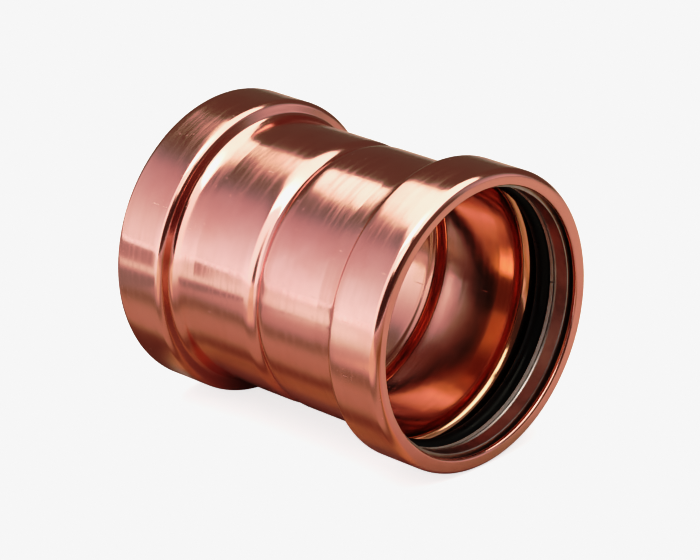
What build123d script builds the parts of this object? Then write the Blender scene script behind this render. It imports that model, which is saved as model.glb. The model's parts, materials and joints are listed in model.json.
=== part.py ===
"""Straight copper press coupling for 3 in copper water tube (79.4 mm outside diameter), in millimetres.

The fitting lies on its side: +X runs along its axis out of the right socket, +Z is up, and the
origin is the middle of the tube stop, on the axis. The two ends are alike. Each has a rolled bead
that holds an O-ring, a split separator ring and a split grip ring with two cutting edges.
"""

import math
import os

from build123d import *

# Driving dimensions
TUBE_RADIUS = 39.69
TUBE_CLEARANCE = 0.26
WALL = 2.1
HALF_LENGTH = 55.55
BEAD_RADIUS = 47.25
LIP_RADIUS = 42.2
LIP_LEAN = 4.0

# Corners of the wall's outer face before bending: the stop, a slight flare, and the shoulder up to the bead
STOP_DEPTH = 1.1
STOP_FLOOR = 0.62
STOP_REACH = 2.82
FLARE_START = 26.0
APRON_START = 32.6
APRON_RISE = 0.17
SHOULDER_FOOT = 34.9
FOOT_RISE = 1.02
SHOULDER_TOP = 35.8

# Bends at those corners, measured on the outer face
STOP_FLOOR_BEND = 2.5
STOP_BEND = 6.0
FLARE_BEND = 6.0
APRON_BEND = 8.0
FOOT_BEND = 1.6
SHOULDER_BEND = 2.2
LIP_BEND = 2.75
LIP_EDGE = 0.95

# Rings in the bead
O_RING_SECTION = 5.3
O_RING_PROTRUSION = 0.2
O_RING_GAP = 0.15
SEPARATOR_WIDTH = 1.8
SEPARATOR_CROWN = 0.7
SEPARATOR_EDGE = 0.25
SEPARATOR_SLOT = 0.3
GRIP_WIDTH = 5.4
GRIP_INNER = 41.15
GRIP_CHAMFER = 1.0
GRIP_SLOT = 2.4
EDGE_HEIGHT = 0.25
EDGE_WIDTH = 0.7
RING_PLAY = 0.35
END_PLAY = 0.8
RING_GAP = 0.3

# Worked out from the above
BORE_RADIUS = TUBE_RADIUS + TUBE_CLEARANCE
BODY_RADIUS = BORE_RADIUS + WALL
CHAMBER_RADIUS = BEAD_RADIUS - WALL
CHAMBER_END = HALF_LENGTH - WALL
# The lip leans inwards by LIP_LEAN degrees: its outer face would meet the bead's surface at LIP_CORNER
LEAN = math.radians(LIP_LEAN)
LIP_CORNER = HALF_LENGTH + LIP_BEND * ((1 + math.sin(LEAN)) / math.cos(LEAN) - 1)
LIP_FACE = LIP_CORNER - (BEAD_RADIUS - LIP_RADIUS) * math.tan(LEAN)
LIP_BACK = LIP_FACE - WALL / math.cos(LEAN)
GRIP_END = CHAMBER_END - END_PLAY
GRIP_START = GRIP_END - GRIP_WIDTH
SEPARATOR_END = GRIP_START - RING_GAP
SEPARATOR_START = SEPARATOR_END - SEPARATOR_WIDTH
O_RING_END = SEPARATOR_START - O_RING_GAP
RING_OUTER = CHAMBER_RADIUS - RING_PLAY

SIDES = {"right": 1, "left": -1}
# Where each split ring's slot stands, in degrees about +X from +Y towards +Z
SEPARATOR_SLOT_ANGLE = {"right": -1.4, "left": 130.0}
GRIP_SLOT_ANGLE = {"right": 215.0, "left": 40.0}


def side_plane(side):
    """The section plane of one end: its x runs from the stop out of that socket, its y is the radius."""
    return Plane(origin=(0, 0, 0), x_dir=(SIDES[side], 0, 0), z_dir=(0, -SIDES[side], 0))


def export(part, name):
    part.label = name
    export_step(part, f"parts/{name}.step")


def heading(start, end):
    """The direction from one profile point to the next, in radians from the axis."""
    return math.atan2(end[1] - start[1], end[0] - start[0])


def inner_face(corners, bends):
    """The inner corners and bends of a wall of constant thickness, from its outer ones, both ends left out."""
    inner_corners, inner_bends = [], []
    for before, corner, after, bend in zip(corners, corners[1:], corners[2:], bends):
        run = heading(before, corner)
        turn = heading(corner, after) - run
        slant = math.tan(turn / 2)
        x = corner[0] + WALL * (math.sin(run) + slant * math.cos(run))
        radius = corner[1] + WALL * (slant * math.sin(run) - math.cos(run))
        inner_corners.append((x, radius))
        inner_bends.append(bend + math.copysign(WALL, turn))
    return inner_corners, inner_bends


def half_wall(side):
    """One half of the copper wall: rolled stop, socket, flare, bead and turned-in lip."""
    outer_corners = [
        (0, BODY_RADIUS - STOP_DEPTH),
        (STOP_FLOOR, BODY_RADIUS - STOP_DEPTH),
        (STOP_REACH, BODY_RADIUS),
        (FLARE_START, BODY_RADIUS),
        (APRON_START, BODY_RADIUS + APRON_RISE),
        (SHOULDER_FOOT, BODY_RADIUS + FOOT_RISE),
        (SHOULDER_TOP, BEAD_RADIUS),
        (LIP_CORNER, BEAD_RADIUS),
        (LIP_FACE, LIP_RADIUS),
    ]
    outer_bends = [
        STOP_FLOOR_BEND,
        STOP_BEND,
        FLARE_BEND,
        APRON_BEND,
        FOOT_BEND,
        SHOULDER_BEND,
        LIP_BEND,
    ]
    inner_corners, inner_bends = inner_face(outer_corners, outer_bends)
    inner_corners.insert(0, (0, BORE_RADIUS - STOP_DEPTH))
    corners = outer_corners + [(LIP_BACK, LIP_RADIUS)] + inner_corners[::-1]
    bends = outer_bends + [LIP_EDGE, LIP_EDGE] + inner_bends[::-1]
    with BuildPart() as half:
        with BuildSketch(side_plane(side)):
            with BuildLine():
                FilletPolyline(*corners, radius=bends)
                Line(corners[-1], corners[0])
            make_face()
        revolve(axis=Axis.X)
    return half.part


def coupling_body():
    with BuildPart() as body:
        for side in SIDES:
            add(half_wall(side))
    export(body.part, "coupling_body")


def o_ring(side):
    """The seal: it stands a little proud of the bore, so that the tube squeezes it against the bead."""
    section_radius = O_RING_SECTION / 2
    with BuildPart() as ring:
        with BuildSketch(side_plane(side)):
            with Locations((O_RING_END - section_radius, BORE_RADIUS - O_RING_PROTRUSION + section_radius)):
                Circle(section_radius)
        revolve(axis=Axis.X)
    export(ring.part, f"o_ring_{side}")


def slot_plane(angle):
    """A plane through the axis that faces outwards at this angle, with its x along the axis."""
    outward = (0, math.cos(math.radians(angle)), math.sin(math.radians(angle)))
    return Plane(origin=(0, 0, 0), x_dir=(1, 0, 0), z_dir=outward)


def separator_ring(side):
    """A split washer with a crowned inner face, between the O-ring and the grip ring."""
    middle = (SEPARATOR_START + SEPARATOR_END) / 2
    with BuildPart() as ring:
        with BuildSketch(side_plane(side)):
            with Locations((middle, (GRIP_INNER + RING_OUTER) / 2)):
                section = Rectangle(SEPARATOR_WIDTH, RING_OUTER - GRIP_INNER)
            by_radius = section.vertices().sort_by(Axis.Z)
            fillet(by_radius[:2], SEPARATOR_CROWN)
            fillet(by_radius[2:], SEPARATOR_EDGE)
        revolve(axis=Axis.X)
        with BuildSketch(slot_plane(SEPARATOR_SLOT_ANGLE[side])):
            with Locations((SIDES[side] * middle, 0)):
                Rectangle(2 * SEPARATOR_WIDTH, SEPARATOR_SLOT)
        extrude(amount=BEAD_RADIUS, mode=Mode.SUBTRACT)
    export(ring.part, f"separator_ring_{side}")


def grip_ring(side):
    """A hard split ring with a cutting edge at each end of its inner face, which bites into the tube."""
    middle = (GRIP_START + GRIP_END) / 2
    edge_root = GRIP_INNER + EDGE_HEIGHT
    section_points = [
        (GRIP_START, edge_root),
        (GRIP_START + EDGE_WIDTH / 4, GRIP_INNER),
        (GRIP_START + EDGE_WIDTH, edge_root),
        (GRIP_END - EDGE_WIDTH, edge_root),
        (GRIP_END - EDGE_WIDTH / 4, GRIP_INNER),
        (GRIP_END, edge_root),
        (GRIP_END, RING_OUTER - GRIP_CHAMFER),
        (GRIP_END - GRIP_CHAMFER, RING_OUTER),
        (GRIP_START + GRIP_CHAMFER, RING_OUTER),
        (GRIP_START, RING_OUTER - GRIP_CHAMFER),
    ]
    with BuildPart() as ring:
        with BuildSketch(side_plane(side)):
            with BuildLine():
                Polyline(*section_points, close=True)
            make_face()
        revolve(axis=Axis.X)
        with BuildSketch(slot_plane(GRIP_SLOT_ANGLE[side])):
            with Locations((SIDES[side] * middle, 0)):
                Rectangle(2 * GRIP_WIDTH, GRIP_SLOT)
        extrude(amount=BEAD_RADIUS, mode=Mode.SUBTRACT)
    export(ring.part, f"grip_ring_{side}")


os.makedirs("parts", exist_ok=True)
coupling_body()
for end in SIDES:
    o_ring(end)
    separator_ring(end)
    grip_ring(end)
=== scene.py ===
"""A large-bore copper press coupling lying on its side, in a plain studio. Units are metres."""

import json
import math

import bpy
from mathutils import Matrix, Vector, noise

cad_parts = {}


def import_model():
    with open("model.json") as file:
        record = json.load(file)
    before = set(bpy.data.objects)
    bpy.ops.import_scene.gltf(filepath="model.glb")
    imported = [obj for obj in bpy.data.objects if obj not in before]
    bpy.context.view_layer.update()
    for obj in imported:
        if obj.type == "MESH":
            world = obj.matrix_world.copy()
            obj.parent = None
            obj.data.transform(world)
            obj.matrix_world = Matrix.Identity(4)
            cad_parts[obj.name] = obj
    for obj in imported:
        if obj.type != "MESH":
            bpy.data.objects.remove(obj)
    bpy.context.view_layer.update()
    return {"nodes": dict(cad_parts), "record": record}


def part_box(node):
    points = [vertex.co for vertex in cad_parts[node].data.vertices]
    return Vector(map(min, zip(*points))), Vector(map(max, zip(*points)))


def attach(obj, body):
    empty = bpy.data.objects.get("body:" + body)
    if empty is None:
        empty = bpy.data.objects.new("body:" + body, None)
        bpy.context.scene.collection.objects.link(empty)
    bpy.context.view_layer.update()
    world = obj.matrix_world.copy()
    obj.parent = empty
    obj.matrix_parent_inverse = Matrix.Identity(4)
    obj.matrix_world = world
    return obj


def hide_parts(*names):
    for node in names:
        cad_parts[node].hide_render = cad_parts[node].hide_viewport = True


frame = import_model()

MM = 0.001
SIDES = ("right", "left")

# Sizes that the frame gives
BODY_LOW, BODY_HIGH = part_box("coupling_body")
HALF_LENGTH = BODY_HIGH.x
BEAD_RADIUS = BODY_HIGH.z
BORE_RADIUS = frame["record"]["mounts"][0]["dims"]["r_mm"] * MM
FLOOR_Z = BODY_LOW.z

# The copper wall, as in the CAD model
WALL = 2.1 * MM
BODY_RADIUS = BORE_RADIUS + WALL
STOP_RADIUS = BODY_RADIUS - 1.1 * MM
LIP_RADIUS = 42.2 * MM
LIP_BEND = 2.75 * MM
LIP_EDGE = 0.95 * MM
LEAN = math.radians(4.0)
LIP_CORNER = HALF_LENGTH + LIP_BEND * ((1 + math.sin(LEAN)) / math.cos(LEAN) - 1)
LIP_FACE = LIP_CORNER - (BEAD_RADIUS - LIP_RADIUS) * math.tan(LEAN)
LIP_BACK = LIP_FACE - WALL / math.cos(LEAN)
# Corners of its outer face before bending, as (x, radius, bend), from the middle of the stop to the lip's edge
OUTER_CORNERS = [
    (0.0, STOP_RADIUS, 0.0),
    (0.62 * MM, STOP_RADIUS, 2.5 * MM),
    (2.82 * MM, BODY_RADIUS, 6.0 * MM),
    (26.0 * MM, BODY_RADIUS, 6.0 * MM),
    (32.6 * MM, BODY_RADIUS + 0.17 * MM, 8.0 * MM),
    (34.9 * MM, BODY_RADIUS + 1.02 * MM, 1.6 * MM),
    (35.8 * MM, BEAD_RADIUS, 2.2 * MM),
    (LIP_CORNER, BEAD_RADIUS, LIP_BEND),
    (LIP_FACE, LIP_RADIUS, LIP_EDGE),
]

# How finely the wall is meshed
RING_STEPS = 288
ARC_STEP = math.radians(7)
FEWEST_ARC_STEPS = 3
LONGEST_STEP = 2.0 * MM
SAME_POINT = 1e-7

# The shallow waves that forming leaves, from a broad and a fine noise, with scales per metre
DENT_DEPTH = 0.05 * MM
BROAD_DENTS = 70
FINE_DENTS = 190
FINE_DENT_SHARE = 0.5
DENT_MIDDLE = 0.5
DENT_SWING = 0.6

# A face of the wall whose normal points outwards by more than this belongs to the outside
FACING_OUT = 0.02


# ---------------------------------------------------------------- outlines

def corner_arc(before, corner, after, radius):
    """The points of an arc that rounds this corner, tangent to both sides."""
    corner = Vector(corner)
    to_before = (Vector(before) - corner).normalized()
    to_after = (Vector(after) - corner).normalized()
    half = to_before.angle(to_after) / 2
    start = corner + to_before * (radius / math.tan(half))
    centre = corner + (to_before + to_after).normalized() * radius / math.sin(half)
    spoke = start - centre
    turn = math.pi - 2 * half
    if to_before.cross(to_after) > 0:
        turn = -turn
    steps = max(FEWEST_ARC_STEPS, round(abs(turn) / ARC_STEP))
    points = []
    for step in range(steps + 1):
        angle = turn * step / steps
        cos, sin = math.cos(angle), math.sin(angle)
        points.append(centre + Vector((spoke.x * cos - spoke.y * sin, spoke.x * sin + spoke.y * cos)))
    return points


def rounded_outline(corners):
    """A closed outline of (x, radius) points from (x, radius, bend) corners, with no step over LONGEST_STEP."""
    points = []
    for index, (x, radius, bend) in enumerate(corners):
        before = corners[index - 1][:2]
        after = corners[(index + 1) % len(corners)][:2]
        points += corner_arc(before, (x, radius), after, bend) if bend else [Vector((x, radius))]
    outline = []
    for index, point in enumerate(points):
        step = points[(index + 1) % len(points)] - point
        if step.length < SAME_POINT:
            continue
        pieces = math.ceil(step.length / LONGEST_STEP)
        outline += [point + step * piece / pieces for piece in range(pieces)]
    return outline


def heading(start, end):
    """The direction from one outline point to the next, in radians from the axis."""
    return math.atan2(end[1] - start[1], end[0] - start[0])


def inner_face(outer):
    """The inner corners of a wall of constant thickness, from its outer ones, both ends left out."""
    inner = []
    for before, corner, after in zip(outer, outer[1:], outer[2:]):
        run = heading(before, corner)
        turn = heading(corner, after) - run
        slant = math.tan(turn / 2)
        x = corner[0] + WALL * (math.sin(run) + slant * math.cos(run))
        radius = corner[1] + WALL * (slant * math.sin(run) - math.cos(run))
        inner.append((x, radius, corner[2] + math.copysign(WALL, turn)))
    return inner


# ---------------------------------------------------------------- meshes

def link_new(name, data):
    thing = bpy.data.objects.new(name, data)
    bpy.context.scene.collection.objects.link(thing)
    return thing


def revolved(name, outline, shape):
    """A mesh of the outline turned about the X axis, with shape(point, angle) added to each point's radius."""
    count = len(outline)
    vertices = []
    faces = []
    for turn in range(RING_STEPS):
        angle = math.tau * turn / RING_STEPS
        for point in outline:
            radius = point.y + shape(point, angle)
            vertices.append((point.x, radius * math.cos(angle), radius * math.sin(angle)))
        near, far = turn * count, (turn + 1) % RING_STEPS * count
        for index in range(count):
            other = (index + 1) % count
            faces.append((near + index, far + index, far + other, near + other))
    mesh = bpy.data.meshes.new(name)
    mesh.from_pydata(vertices, [], faces)
    mesh.validate()
    mesh.shade_smooth()
    return link_new(name, mesh)


# ---------------------------------------------------------------- node helpers

def fill(tree, socket, value):
    """Set a socket: a colour or a number is stored on it, and anything else is linked to it."""
    if isinstance(value, tuple):
        socket.default_value = (*value, 1.0)
    elif isinstance(value, (int, float)):
        socket.default_value = value
    else:
        tree.links.new(value, socket)


def faded(tree, value, low, high, to_low=0.0, to_high=1.0, curve="SMOOTHSTEP"):
    """The value carried from the range low to high into to_low to to_high, and held at its ends."""
    node = tree.nodes.new("ShaderNodeMapRange")
    node.interpolation_type = curve
    numbers = {"Value": value, "From Min": low, "From Max": high, "To Min": to_low, "To Max": to_high}
    for key, number in numbers.items():
        fill(tree, node.inputs[key], number)
    return node.outputs["Result"]


def mixed(tree, factor, one, other):
    """One colour where the factor is 0, the other where it is 1."""
    node = tree.nodes.new("ShaderNodeMix")
    node.data_type = "RGBA"
    for key, value in (("Factor", factor), ("A", one), ("B", other)):
        fill(tree, node.inputs[key], value)
    return node.outputs["Result"]


class Nodes:
    """A material's node tree, with short ways to add and join nodes."""

    def __init__(self, name):
        self.material = bpy.data.materials.new(name)
        self.material.use_nodes = True
        self.tree = self.material.node_tree
        self.shader = self.tree.nodes["Principled BSDF"]
        self.place = self.add("ShaderNodeTexCoord").outputs["Object"]

    def add(self, kind, **settings):
        node = self.tree.nodes.new(kind)
        for key, value in settings.items():
            setattr(node, key, value)
        return node

    def join(self, source, socket):
        self.tree.links.new(source, socket)

    def along(self, axis):
        split = self.add("ShaderNodeSeparateXYZ")
        self.join(self.place, split.inputs[0])
        return split.outputs[axis]

    def stretched(self, scale):
        """Places times a scale, which is one number or one for each axis."""
        node = self.add("ShaderNodeMapping")
        node.inputs["Scale"].default_value = scale if isinstance(scale, tuple) else (scale, scale, scale)
        self.join(self.place, node.inputs["Vector"])
        return node.outputs["Vector"]

    def length(self, vector):
        node = self.add("ShaderNodeVectorMath", operation="LENGTH")
        self.join(vector, node.inputs[0])
        return node.outputs["Value"]

    def noise(self, scale, detail, rough=0.55):
        node = self.add("ShaderNodeTexNoise")
        self.join(self.stretched(scale), node.inputs["Vector"])
        node.inputs["Scale"].default_value = 1.0
        node.inputs["Detail"].default_value = detail
        node.inputs["Roughness"].default_value = rough
        return node.outputs["Fac"]

    def ramp(self, value, low, high, to_low=0.0, to_high=1.0):
        return faded(self.tree, value, low, high, to_low, to_high)

    def mix(self, factor, one, other):
        return mixed(self.tree, factor, one, other)

    def math(self, operation, *values):
        node = self.add("ShaderNodeMath", operation=operation)
        for socket, value in zip(node.inputs, values):
            fill(self.tree, socket, value)
        return node.outputs[0]

    def times(self, one, other):
        return self.math("MULTIPLY", one, other)

    def plus(self, one, other):
        return self.math("ADD", one, other)

    def without(self, part):
        return self.math("SUBTRACT", 1.0, part)

    def bump(self, height, distance, under=None):
        node = self.add("ShaderNodeBump")
        node.inputs["Distance"].default_value = distance
        self.join(height, node.inputs["Height"])
        if under:
            self.join(under, node.inputs["Normal"])
        return node.outputs["Normal"]


# ---------------------------------------------------------------- materials

# Marks in the copper, each from a noise. Scales are per metre: high along X and low across it draws lines
# that run round the wall. A FADE is the range of the noise over which the mark appears.
TARNISH_SCALE, TARNISH_FADE, TARNISH_SHARE = 45, (0.42, 0.72), 0.55
STREAK_SCALE = (900, 35, 35)
BRUSH_SCALE = (4200, 160, 160)
SATIN_SCALE, SATIN_FADE = (620, 22, 22), (0.46, 0.62)
WAVE_SCALE = 90
HANDLED_SCALE, HANDLED_FADE = 55, (0.50, 0.62)
NICK_SCALE, NICK_FADE = (2300, 420, 420), (0.72, 0.78)
LINE_SCALE, LINE_FADE = (150, 2600, 2600), (0.75, 0.79)
PIT_SCALE, PIT_FADE, PIT_SHARE = 420, (0.05, 0.14), 0.7
PIT_AREA_SCALE, PIT_AREA_FADE = 110, (0.6, 0.66)
WORN_SHARE, WORN_LIGHTER = 0.5, 1.06
# Turning lines on the rim: rings round the axis, at the ends only
TURNED_SCALE = (0, 1300, 1300)
TURNED_FROM = (0.0525, 0.0535)
# The tint near the mouths fades in over these distances from the middle
MOUTH_FROM = (0.014, 0.030)

# How much each kind of mark adds to the copper's roughness, and how deep its bump is
ROUGHNESS_DROP = 0.04
STREAK_ROUGHNESS, SATIN_ROUGHNESS, TARNISH_ROUGHNESS, WORN_ROUGHNESS = 0.05, 0.06, 0.04, 0.14
WAVE_HEIGHT, STREAK_HEIGHT, BRUSH_HEIGHT = 0.03 * MM, 0.006 * MM, 0.0012 * MM
WORN_HEIGHT, TURNED_HEIGHT = 0.015 * MM, 0.014 * MM

# The steel rings: grinding lines, patches of heat tint and low waves
GRAIN_ALONG, GRAIN_ROUGHNESS, GRAIN_HEIGHT = 5200, 0.1, 0.002 * MM
TINT_SCALE, TINT_FADE, TINT_ROUGHNESS = 120, (0.4, 0.7), 0.04
STEEL_WAVE_SCALE, STEEL_WAVE_HEIGHT = 260, 0.01 * MM

# The O-rings: a film of lubricant, which makes them smoother, the mould's grain, and dust
FILM_SCALE, FILM_FADE, FILM_ROUGHNESS = 90, (0.38, 0.66), (0.42, 0.24)
MOULD_SCALE, MOULD_HEIGHT = 1800, 0.006 * MM
DUST_SCALE, DUST_FADE, DUST_SHARE = 2600, (0.68, 0.74), 0.25


def worn_marks(n):
    """Where the copper has nicks, lines and pits: 1 in a mark, 0 elsewhere."""
    handled = n.ramp(n.noise(HANDLED_SCALE, 1), *HANDLED_FADE)
    nicks = n.times(n.ramp(n.noise(NICK_SCALE, 2, 0.5), *NICK_FADE), handled)
    lines = n.times(n.ramp(n.noise(LINE_SCALE, 1, 0.5), *LINE_FADE), handled)
    cells = n.add("ShaderNodeTexVoronoi")
    n.join(n.stretched(PIT_SCALE), cells.inputs["Vector"])
    cells.inputs["Scale"].default_value = 1.0
    pit_area = n.ramp(n.noise(PIT_AREA_SCALE, 1), *PIT_AREA_FADE)
    pits = n.times(n.ramp(cells.outputs["Distance"], *PIT_FADE, 1.0, 0.0), pit_area)
    return n.math("MAXIMUM", n.math("MAXIMUM", nicks, lines), n.times(pits, PIT_SHARE))


def turned_rings(n):
    """Fine rings round the axis, which vary only with the radius."""
    rings = n.add("ShaderNodeTexNoise", noise_dimensions="1D")
    n.join(n.length(n.stretched(TURNED_SCALE)), rings.inputs["W"])
    rings.inputs["Scale"].default_value = 1.0
    return rings.outputs["Fac"]


def copper(name, bright, dull, mouth, roughness, drawn):
    """Drawn and spun copper, tinted near the mouths: turning streaks, faint tarnish, a few nicks and pits."""
    n = Nodes(name)
    tarnish = n.ramp(n.noise(TARNISH_SCALE, 3), *TARNISH_FADE)
    streaks = n.noise(STREAK_SCALE, 5, 0.6)
    brush = n.noise(BRUSH_SCALE, 3, 0.6)
    satin = n.ramp(n.noise(SATIN_SCALE, 4, 0.65), *SATIN_FADE)
    waves = n.noise(WAVE_SCALE, 2)
    worn = worn_marks(n)
    from_middle = n.math("ABSOLUTE", n.along("X"))

    colour = n.mix(n.ramp(from_middle, *MOUTH_FROM), bright, mouth)
    colour = n.mix(n.times(tarnish, TARNISH_SHARE), colour, dull)
    lighter = tuple(min(1.0, WORN_LIGHTER * part) for part in bright)
    n.join(n.mix(n.times(worn, WORN_SHARE), colour, lighter), n.shader.inputs["Base Color"])

    rough = n.plus(roughness - ROUGHNESS_DROP, n.times(streaks, STREAK_ROUGHNESS))
    rough = n.plus(rough, n.times(satin, SATIN_ROUGHNESS * drawn))
    rough = n.plus(rough, n.times(tarnish, TARNISH_ROUGHNESS))
    n.join(n.plus(rough, n.times(worn, WORN_ROUGHNESS)), n.shader.inputs["Roughness"])

    rim_lines = n.times(turned_rings(n), n.ramp(from_middle, *TURNED_FROM))
    normal = n.bump(waves, WAVE_HEIGHT)
    normal = n.bump(streaks, STREAK_HEIGHT * drawn, normal)
    normal = n.bump(brush, BRUSH_HEIGHT * drawn, normal)
    normal = n.bump(n.without(worn), WORN_HEIGHT, normal)
    n.join(n.bump(rim_lines, TURNED_HEIGHT, normal), n.shader.inputs["Normal"])
    n.shader.inputs["Metallic"].default_value = 1.0
    return n.material


def steel(name, bright, dull, roughness, brushed):
    """Stainless strip: grinding lines along the strip, slight heat tint and low waves."""
    n = Nodes(name)
    grain = n.noise((GRAIN_ALONG, brushed, brushed), 4, 0.6)
    tint = n.ramp(n.noise(TINT_SCALE, 3), *TINT_FADE)
    n.join(n.mix(tint, bright, dull), n.shader.inputs["Base Color"])
    rough = n.plus(roughness - ROUGHNESS_DROP, n.times(grain, GRAIN_ROUGHNESS))
    n.join(n.plus(rough, n.times(tint, TINT_ROUGHNESS)), n.shader.inputs["Roughness"])
    normal = n.bump(n.noise(STEEL_WAVE_SCALE, 2), STEEL_WAVE_HEIGHT)
    n.join(n.bump(grain, GRAIN_HEIGHT, normal), n.shader.inputs["Normal"])
    n.shader.inputs["Metallic"].default_value = 1.0
    return n.material


def rubber(name, thick_film, thin_film, dusty):
    """Moulded black EPDM with a film of lubricant, thinner in places, and a little dust."""
    n = Nodes(name)
    film = n.ramp(n.noise(FILM_SCALE, 3), *FILM_FADE)
    dust = n.ramp(n.noise(DUST_SCALE, 2), *DUST_FADE)
    colour = n.mix(film, thin_film, thick_film)
    n.join(n.mix(n.times(dust, DUST_SHARE), colour, dusty), n.shader.inputs["Base Color"])
    n.join(n.ramp(film, 0.0, 1.0, *FILM_ROUGHNESS), n.shader.inputs["Roughness"])
    n.join(n.bump(n.noise(MOULD_SCALE, 3), MOULD_HEIGHT), n.shader.inputs["Normal"])
    return n.material


COPPER_OUTSIDE = copper(
    "copper_outside",
    bright=(0.93, 0.52, 0.49), dull=(0.84, 0.42, 0.39), mouth=(0.93, 0.53, 0.49),
    roughness=0.14, drawn=1.0,
)
COPPER_INSIDE = copper(
    "copper_inside",
    bright=(0.93, 0.51, 0.45), dull=(0.86, 0.45, 0.34), mouth=(0.95, 0.555, 0.405),
    roughness=0.15, drawn=0.45,
)
GRIP_STEEL = steel(
    "ground_stainless", bright=(0.63, 0.58, 0.59), dull=(0.50, 0.46, 0.47), roughness=0.34, brushed=40
)
SEPARATOR_STEEL = steel(
    "satin_stainless", bright=(0.95, 0.95, 0.96), dull=(0.88, 0.88, 0.89), roughness=0.58, brushed=60
)
EPDM = rubber(
    "black_epdm",
    thick_film=(0.008, 0.008, 0.009), thin_film=(0.016, 0.016, 0.018), dusty=(0.09, 0.085, 0.08),
)


# ---------------------------------------------------------------- pieces

def dents(point, angle):
    """How far a place on the wall is pressed in, the same on both faces."""
    place = Vector((point.x, BODY_RADIUS * math.cos(angle), BODY_RADIUS * math.sin(angle)))
    wave = noise.noise(place * BROAD_DENTS) + FINE_DENT_SHARE * noise.noise(place * FINE_DENTS)
    return -DENT_DEPTH * min(1.0, max(0.0, DENT_MIDDLE + DENT_SWING * wave))


def copper_body():
    """The wall, mirrored about the stop, with one copper on its outside and another on its inside."""
    outer = OUTER_CORNERS[1:]
    inner = [(LIP_BACK, LIP_RADIUS, LIP_EDGE)] + inner_face(OUTER_CORNERS)[::-1]
    half = outer + inner
    mirrored = [(-x, radius, bend) for x, radius, bend in reversed(half)]
    body = revolved("copper_body", rounded_outline(half + mirrored), dents)
    body.data.materials.append(COPPER_OUTSIDE)
    body.data.materials.append(COPPER_INSIDE)
    for face in body.data.polygons:
        outwards = Vector((0, face.center.y, face.center.z)).normalized()
        at_end = abs(face.center.x) > LIP_BACK + WALL / 2
        face.material_index = 0 if at_end or face.normal.dot(outwards) > FACING_OUT else 1
    return body


def paint_cad_node(node, material):
    mesh = frame["nodes"][node].data
    mesh.materials.clear()
    mesh.materials.append(material)


body = copper_body()
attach(body, "coupling")
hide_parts("coupling_body")
for side in SIDES:
    paint_cad_node(f"o_ring_{side}", EPDM)
    paint_cad_node(f"separator_ring_{side}", SEPARATOR_STEEL)
    paint_cad_node(f"grip_ring_{side}", GRIP_STEEL)


# ---------------------------------------------------------------- studio

# The floor as the camera sees it
FLOOR_HALF = 4.0
FLOOR_ROUGHNESS = 0.9
FLOOR_LIFT = 0.74
FLOOR_SEEN = (0.78, 0.785, 0.85)
# The floor as reflections see it: bands of painted light and shade by distance from the fitting's axis, with
# warm painted copper bounce light near it, dark rings of painted contact shadow and pale further out
FLOOR_BANDS_END = 0.25
FLOOR_PAINTED_LIGHT_AND_SHADE_BANDS = (
    (0.023, (0.54, 0.43, 0.40)),
    (0.030, (0.62, 0.44, 0.34)),
    (0.037, (0.53, 0.38, 0.28)),
    (0.045, (0.31, 0.22, 0.18)),
    (0.056, (0.48, 0.38, 0.34)),
    (0.070, (0.47, 0.39, 0.34)),
    (0.091, (0.31, 0.25, 0.24)),
    (0.127, (0.53, 0.49, 0.48)),
    (0.210, (0.81, 0.85, 0.89)),
)
# Zones of painted light and shade laid over the bands, seen only in reflections: painted shade on the left, on
# the right, behind and in a near and a far patch, and painted light in front. Each fades in or out over a range
# of x, of distance aside (|y|) or from the origin
FLOOR_LEFT_PAINTED_SHADE = (0.20, 0.145, 0.13)
LEFT_X, LEFT_ASIDE = (-0.066, -0.053), (0.040, 0.056)
FLOOR_FRONT_PAINTED_LIGHT = (0.74, 0.66, 0.60)
FRONT_X, FRONT_ASIDE = (-0.045, -0.010), (0.100, 0.125)
FLOOR_PAINTED_SHADE_PATCH = (0.34, 0.31, 0.32)
PATCH_START, PATCH_END, PATCH_X = (0.14, 0.165), (0.215, 0.25), (-0.124, -0.106)
FLOOR_FAR_PAINTED_SHADE_PATCH = (0.46, 0.42, 0.43)
FAR_PATCH_START, FAR_PATCH_END = (0.26, 0.36), (1.1, 1.4)
FAR_PATCH_SLANT, FAR_PATCH_EDGE = 0.88, (-0.006, 0.012)
FLOOR_RIGHT_PAINTED_SHADE = (0.26, 0.18, 0.12)
RIGHT_X = (0.12, 0.22)
FLOOR_BEHIND_PAINTED_SHADE = (0.56, 0.51, 0.45)
BEHIND_Y = (-0.01, 0.03)
# The floor's own glow in reflections, as (range of distance, strength), away from the far patch and from behind
FLOOR_GLOWS = (((0.2, 0.34), 0.2), ((0.6, 1.6), 0.7))

# The room's background as the camera sees it
BACKGROUND = (1.04, 1.04, 1.04)
# The room as reflections see it: the front, from low to high, and the far side behind the fitting
FRONT_LOW = (1.10, 1.18, 1.18)
FRONT_LEFT = (0.88, 0.85, 0.83)
FRONT_MIDDLE = (0.54, 0.52, 0.53)
FRONT_HIGH = (0.28, 0.26, 0.26)
FRONT_PANEL = (1.30, 1.28, 1.20)
FRONT_RIGHT = (0.11, 0.09, 0.08)
BACK = (0.18, 0.16, 0.135)
FAR_LOW = (0.62, 0.60, 0.58)
FAR_HIGH = (0.27, 0.25, 0.24)
# Where those zones meet, as ranges of the reflected direction's x, y or z
LOW_LEFT_X = (-0.69, -0.655)
LOW_TO_MIDDLE_Z = (0.08, 0.62)
MIDDLE_TO_HIGH_Z = (0.60, 0.72)
PANEL_X = (-0.52, -0.35)
FRONT_RIGHT_LEAN = (1.0, 0.0, -0.25)
FRONT_RIGHT_EDGE = (0.0, 0.06)
FAR_Z = (0.05, 0.65)
FAR_START_X = (0.35, 0.60)
FAR_END_X = (0.74, 0.84)
FRONT_TO_BACK_Y = (-0.36, 0.06)

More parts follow.
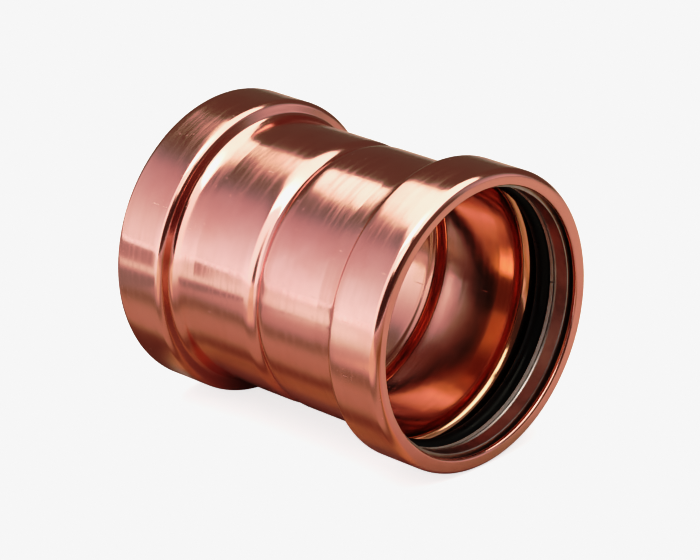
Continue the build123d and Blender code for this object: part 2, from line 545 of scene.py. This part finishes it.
# Soft lights that face down from the ceiling, as (name, place, width, depth, brightness, turn)
CEILING = 1.06
CEILING_COLOUR = (1.0, 0.975, 0.845)
SOFTBOXES = (
    ("ceiling", (0.048, 0.093, CEILING), 1.855, 1.35, 1.52, math.radians(17)),
    ("ceiling_right", (0.70, -0.85, CEILING), 0.80, 0.70, 1.55, 0.0),
)

# The camera's place, from the point it looks at
CAMERA_AIM = Vector((0.0, 0.0, -1.3 * MM))
CAMERA_AZIMUTH = 43.9
CAMERA_ELEVATION = 21.7
CAMERA_DISTANCE = 1.0684
CAMERA_SENSOR = 36.0
CAMERA_LENS = 178.7
CAMERA_CLIP = 0.01

# The tone curve, as (level, shown)
TONE_POINTS = ((0.08, 0.022), (0.16, 0.10), (0.27, 0.20), (0.48, 0.50), (0.70, 0.72))
TONE_TOP = (1.0, 0.922)
COMBINED_CURVE = 3


def falling(n, value, low, high):
    return n.ramp(value, low, high, 1.0, 0.0)


def painted_light_and_shade_bands(n, aside):
    """The painted light and shade bands' colours, blended by distance from the fitting's axis."""
    bands = n.add("ShaderNodeValToRGB")
    n.join(n.math("DIVIDE", aside, FLOOR_BANDS_END), bands.inputs["Fac"])
    bands.color_ramp.interpolation = "EASE"
    stops = bands.color_ramp.elements
    while len(stops) < len(FLOOR_PAINTED_LIGHT_AND_SHADE_BANDS):
        stops.new(1.0)
    for stop, (reach, colour) in zip(stops, FLOOR_PAINTED_LIGHT_AND_SHADE_BANDS):
        stop.position = reach / FLOOR_BANDS_END
        stop.color = (*colour, 1.0)
    return bands.outputs["Color"]


def pale_floor():
    """Matt floor: an even pale ground for the camera, and bands and zones of painted light and shade with a
    painted glow for reflections.
    """
    n = Nodes("pale_floor")
    n.shader.inputs["Roughness"].default_value = FLOOR_ROUGHNESS
    n.shader.inputs["Specular IOR Level"].default_value = 0.0
    n.shader.inputs["Emission Color"].default_value = (1.0, 1.0, 1.0, 1.0)
    seen = n.add("ShaderNodeLightPath").outputs["Is Camera Ray"]
    distance = n.length(n.place)
    x = n.along("X")
    aside = n.math("ABSOLUTE", n.along("Y"))

    left = n.times(falling(n, x, *LEFT_X), falling(n, aside, *LEFT_ASIDE))
    front = n.times(n.ramp(x, *FRONT_X), n.ramp(aside, *FRONT_ASIDE))
    patch = n.times(n.ramp(distance, *PATCH_START), falling(n, distance, *PATCH_END))
    patch = n.times(patch, falling(n, x, *PATCH_X))
    slanted = n.plus(x, n.times(aside, FAR_PATCH_SLANT))
    far_patch = n.times(falling(n, slanted, *FAR_PATCH_EDGE), n.ramp(distance, *FAR_PATCH_START))
    far_patch = n.times(far_patch, falling(n, distance, *FAR_PATCH_END))
    behind = n.ramp(n.along("Y"), *BEHIND_Y)

    # Painted light and shade on the floor for reflections: the bands, then painted shade left, in the two
    # patches, right and behind, and painted light in front
    painted_reflected_floor = n.mix(left, painted_light_and_shade_bands(n, aside), FLOOR_LEFT_PAINTED_SHADE)
    painted_reflected_floor = n.mix(front, painted_reflected_floor, FLOOR_FRONT_PAINTED_LIGHT)
    painted_reflected_floor = n.mix(patch, painted_reflected_floor, FLOOR_PAINTED_SHADE_PATCH)
    painted_reflected_floor = n.mix(far_patch, painted_reflected_floor, FLOOR_FAR_PAINTED_SHADE_PATCH)
    painted_reflected_floor = n.mix(n.ramp(x, *RIGHT_X), painted_reflected_floor, FLOOR_RIGHT_PAINTED_SHADE)
    painted_reflected_floor = n.mix(behind, painted_reflected_floor, FLOOR_BEHIND_PAINTED_SHADE)
    n.join(n.mix(seen, painted_reflected_floor, FLOOR_SEEN), n.shader.inputs["Base Color"])

    glow = n.plus(*(n.ramp(distance, *reach, 0.0, strength) for reach, strength in FLOOR_GLOWS))
    glow = n.times(glow, n.without(n.math("MAXIMUM", far_patch, behind)))
    glow = n.times(n.without(seen), glow)
    n.join(n.plus(n.times(seen, FLOOR_LIFT), glow), n.shader.inputs["Emission Strength"])
    return n.material


def floor():
    mesh = bpy.data.meshes.new("floor")
    corners = [(x * FLOOR_HALF, y * FLOOR_HALF, FLOOR_Z) for x, y in ((-1, -1), (1, -1), (1, 1), (-1, 1))]
    mesh.from_pydata(corners, [], [(0, 1, 2, 3)])
    mesh.materials.append(pale_floor())
    link_new("floor", mesh)


def world():
    """The room: pale for the camera. Reflections see a bright low front, a dimmer far side and dark gaps."""
    space = bpy.data.worlds.new("studio")
    space.use_nodes = True
    bpy.context.scene.world = space
    tree = space.node_tree
    tree.nodes.clear()
    place = tree.nodes.new("ShaderNodeTexCoord").outputs["Generated"]
    split = tree.nodes.new("ShaderNodeSeparateXYZ")
    tree.links.new(place, split.inputs[0])
    slanted = tree.nodes.new("ShaderNodeVectorMath")
    slanted.operation = "DOT_PRODUCT"
    tree.links.new(place, slanted.inputs[0])
    slanted.inputs[1].default_value = FRONT_RIGHT_LEAN
    x, y, z = (split.outputs[axis] for axis in "XYZ")

    low = mixed(tree, faded(tree, x, *LOW_LEFT_X), FRONT_LEFT, FRONT_LOW)
    front = mixed(tree, faded(tree, z, *LOW_TO_MIDDLE_Z, curve="LINEAR"), low, FRONT_MIDDLE)
    front = mixed(tree, faded(tree, z, *MIDDLE_TO_HIGH_Z), front, FRONT_HIGH)
    front = mixed(tree, faded(tree, x, *PANEL_X), front, FRONT_PANEL)
    front = mixed(tree, faded(tree, slanted.outputs["Value"], *FRONT_RIGHT_EDGE), front, FRONT_RIGHT)
    far_side = mixed(tree, faded(tree, z, *FAR_Z, curve="LINEAR"), FAR_LOW, FAR_HIGH)
    back = mixed(tree, faded(tree, x, *FAR_START_X), BACK, far_side)
    back = mixed(tree, faded(tree, x, *FAR_END_X), back, BACK)
    room = mixed(tree, faded(tree, y, *FRONT_TO_BACK_Y), front, back)

    seen = tree.nodes.new("ShaderNodeLightPath").outputs["Is Camera Ray"]
    shade = tree.nodes.new("ShaderNodeBackground")
    tree.links.new(mixed(tree, seen, room, BACKGROUND), shade.inputs["Color"])
    output = tree.nodes.new("ShaderNodeOutputWorld")
    tree.links.new(shade.outputs["Background"], output.inputs["Surface"])


def softbox(name, place, width, depth, brightness, turn):
    """A soft rectangular light that faces down, with this brightness seen in a mirror."""
    light = bpy.data.lights.new(name, "AREA")
    light.shape = "RECTANGLE"
    light.size = width
    light.size_y = depth
    light.color = CEILING_COLOUR
    light.energy = brightness * width * depth * math.pi
    lamp = link_new(name, light)
    lamp.location = place
    lamp.rotation_euler = (0, 0, turn)
    lamp.visible_camera = False


def direction(azimuth, elevation):
    """The direction in degrees: azimuth 0 is towards -Y, and 90 towards +X."""
    a, e = math.radians(azimuth), math.radians(elevation)
    return Vector((math.sin(a) * math.cos(e), -math.cos(a) * math.cos(e), math.sin(e)))


def camera():
    data = bpy.data.cameras.new("camera")
    data.sensor_width = CAMERA_SENSOR
    data.lens = CAMERA_LENS
    data.clip_start = CAMERA_CLIP
    view = link_new("camera", data)
    view.location = CAMERA_AIM + direction(CAMERA_AZIMUTH, CAMERA_ELEVATION) * CAMERA_DISTANCE
    view.rotation_euler = (CAMERA_AIM - view.location).to_track_quat("-Z", "Y").to_euler()
    bpy.context.scene.camera = view


def tone():
    """The contrast of a studio print: deeper shadows and a gentle shoulder, the same in every channel."""
    settings = bpy.context.scene.view_settings
    settings.view_transform = "Standard"
    settings.use_curve_mapping = True
    curve = settings.curve_mapping.curves[COMBINED_CURVE]
    for level, shown in TONE_POINTS:
        curve.points.new(level, shown)
    curve.points[-1].location = TONE_TOP
    settings.curve_mapping.extend = "HORIZONTAL"
    settings.curve_mapping.update()


tone()
floor()
world()
camera()
for box in SOFTBOXES:
    softbox(*box)

bpy.context.view_layer.update()
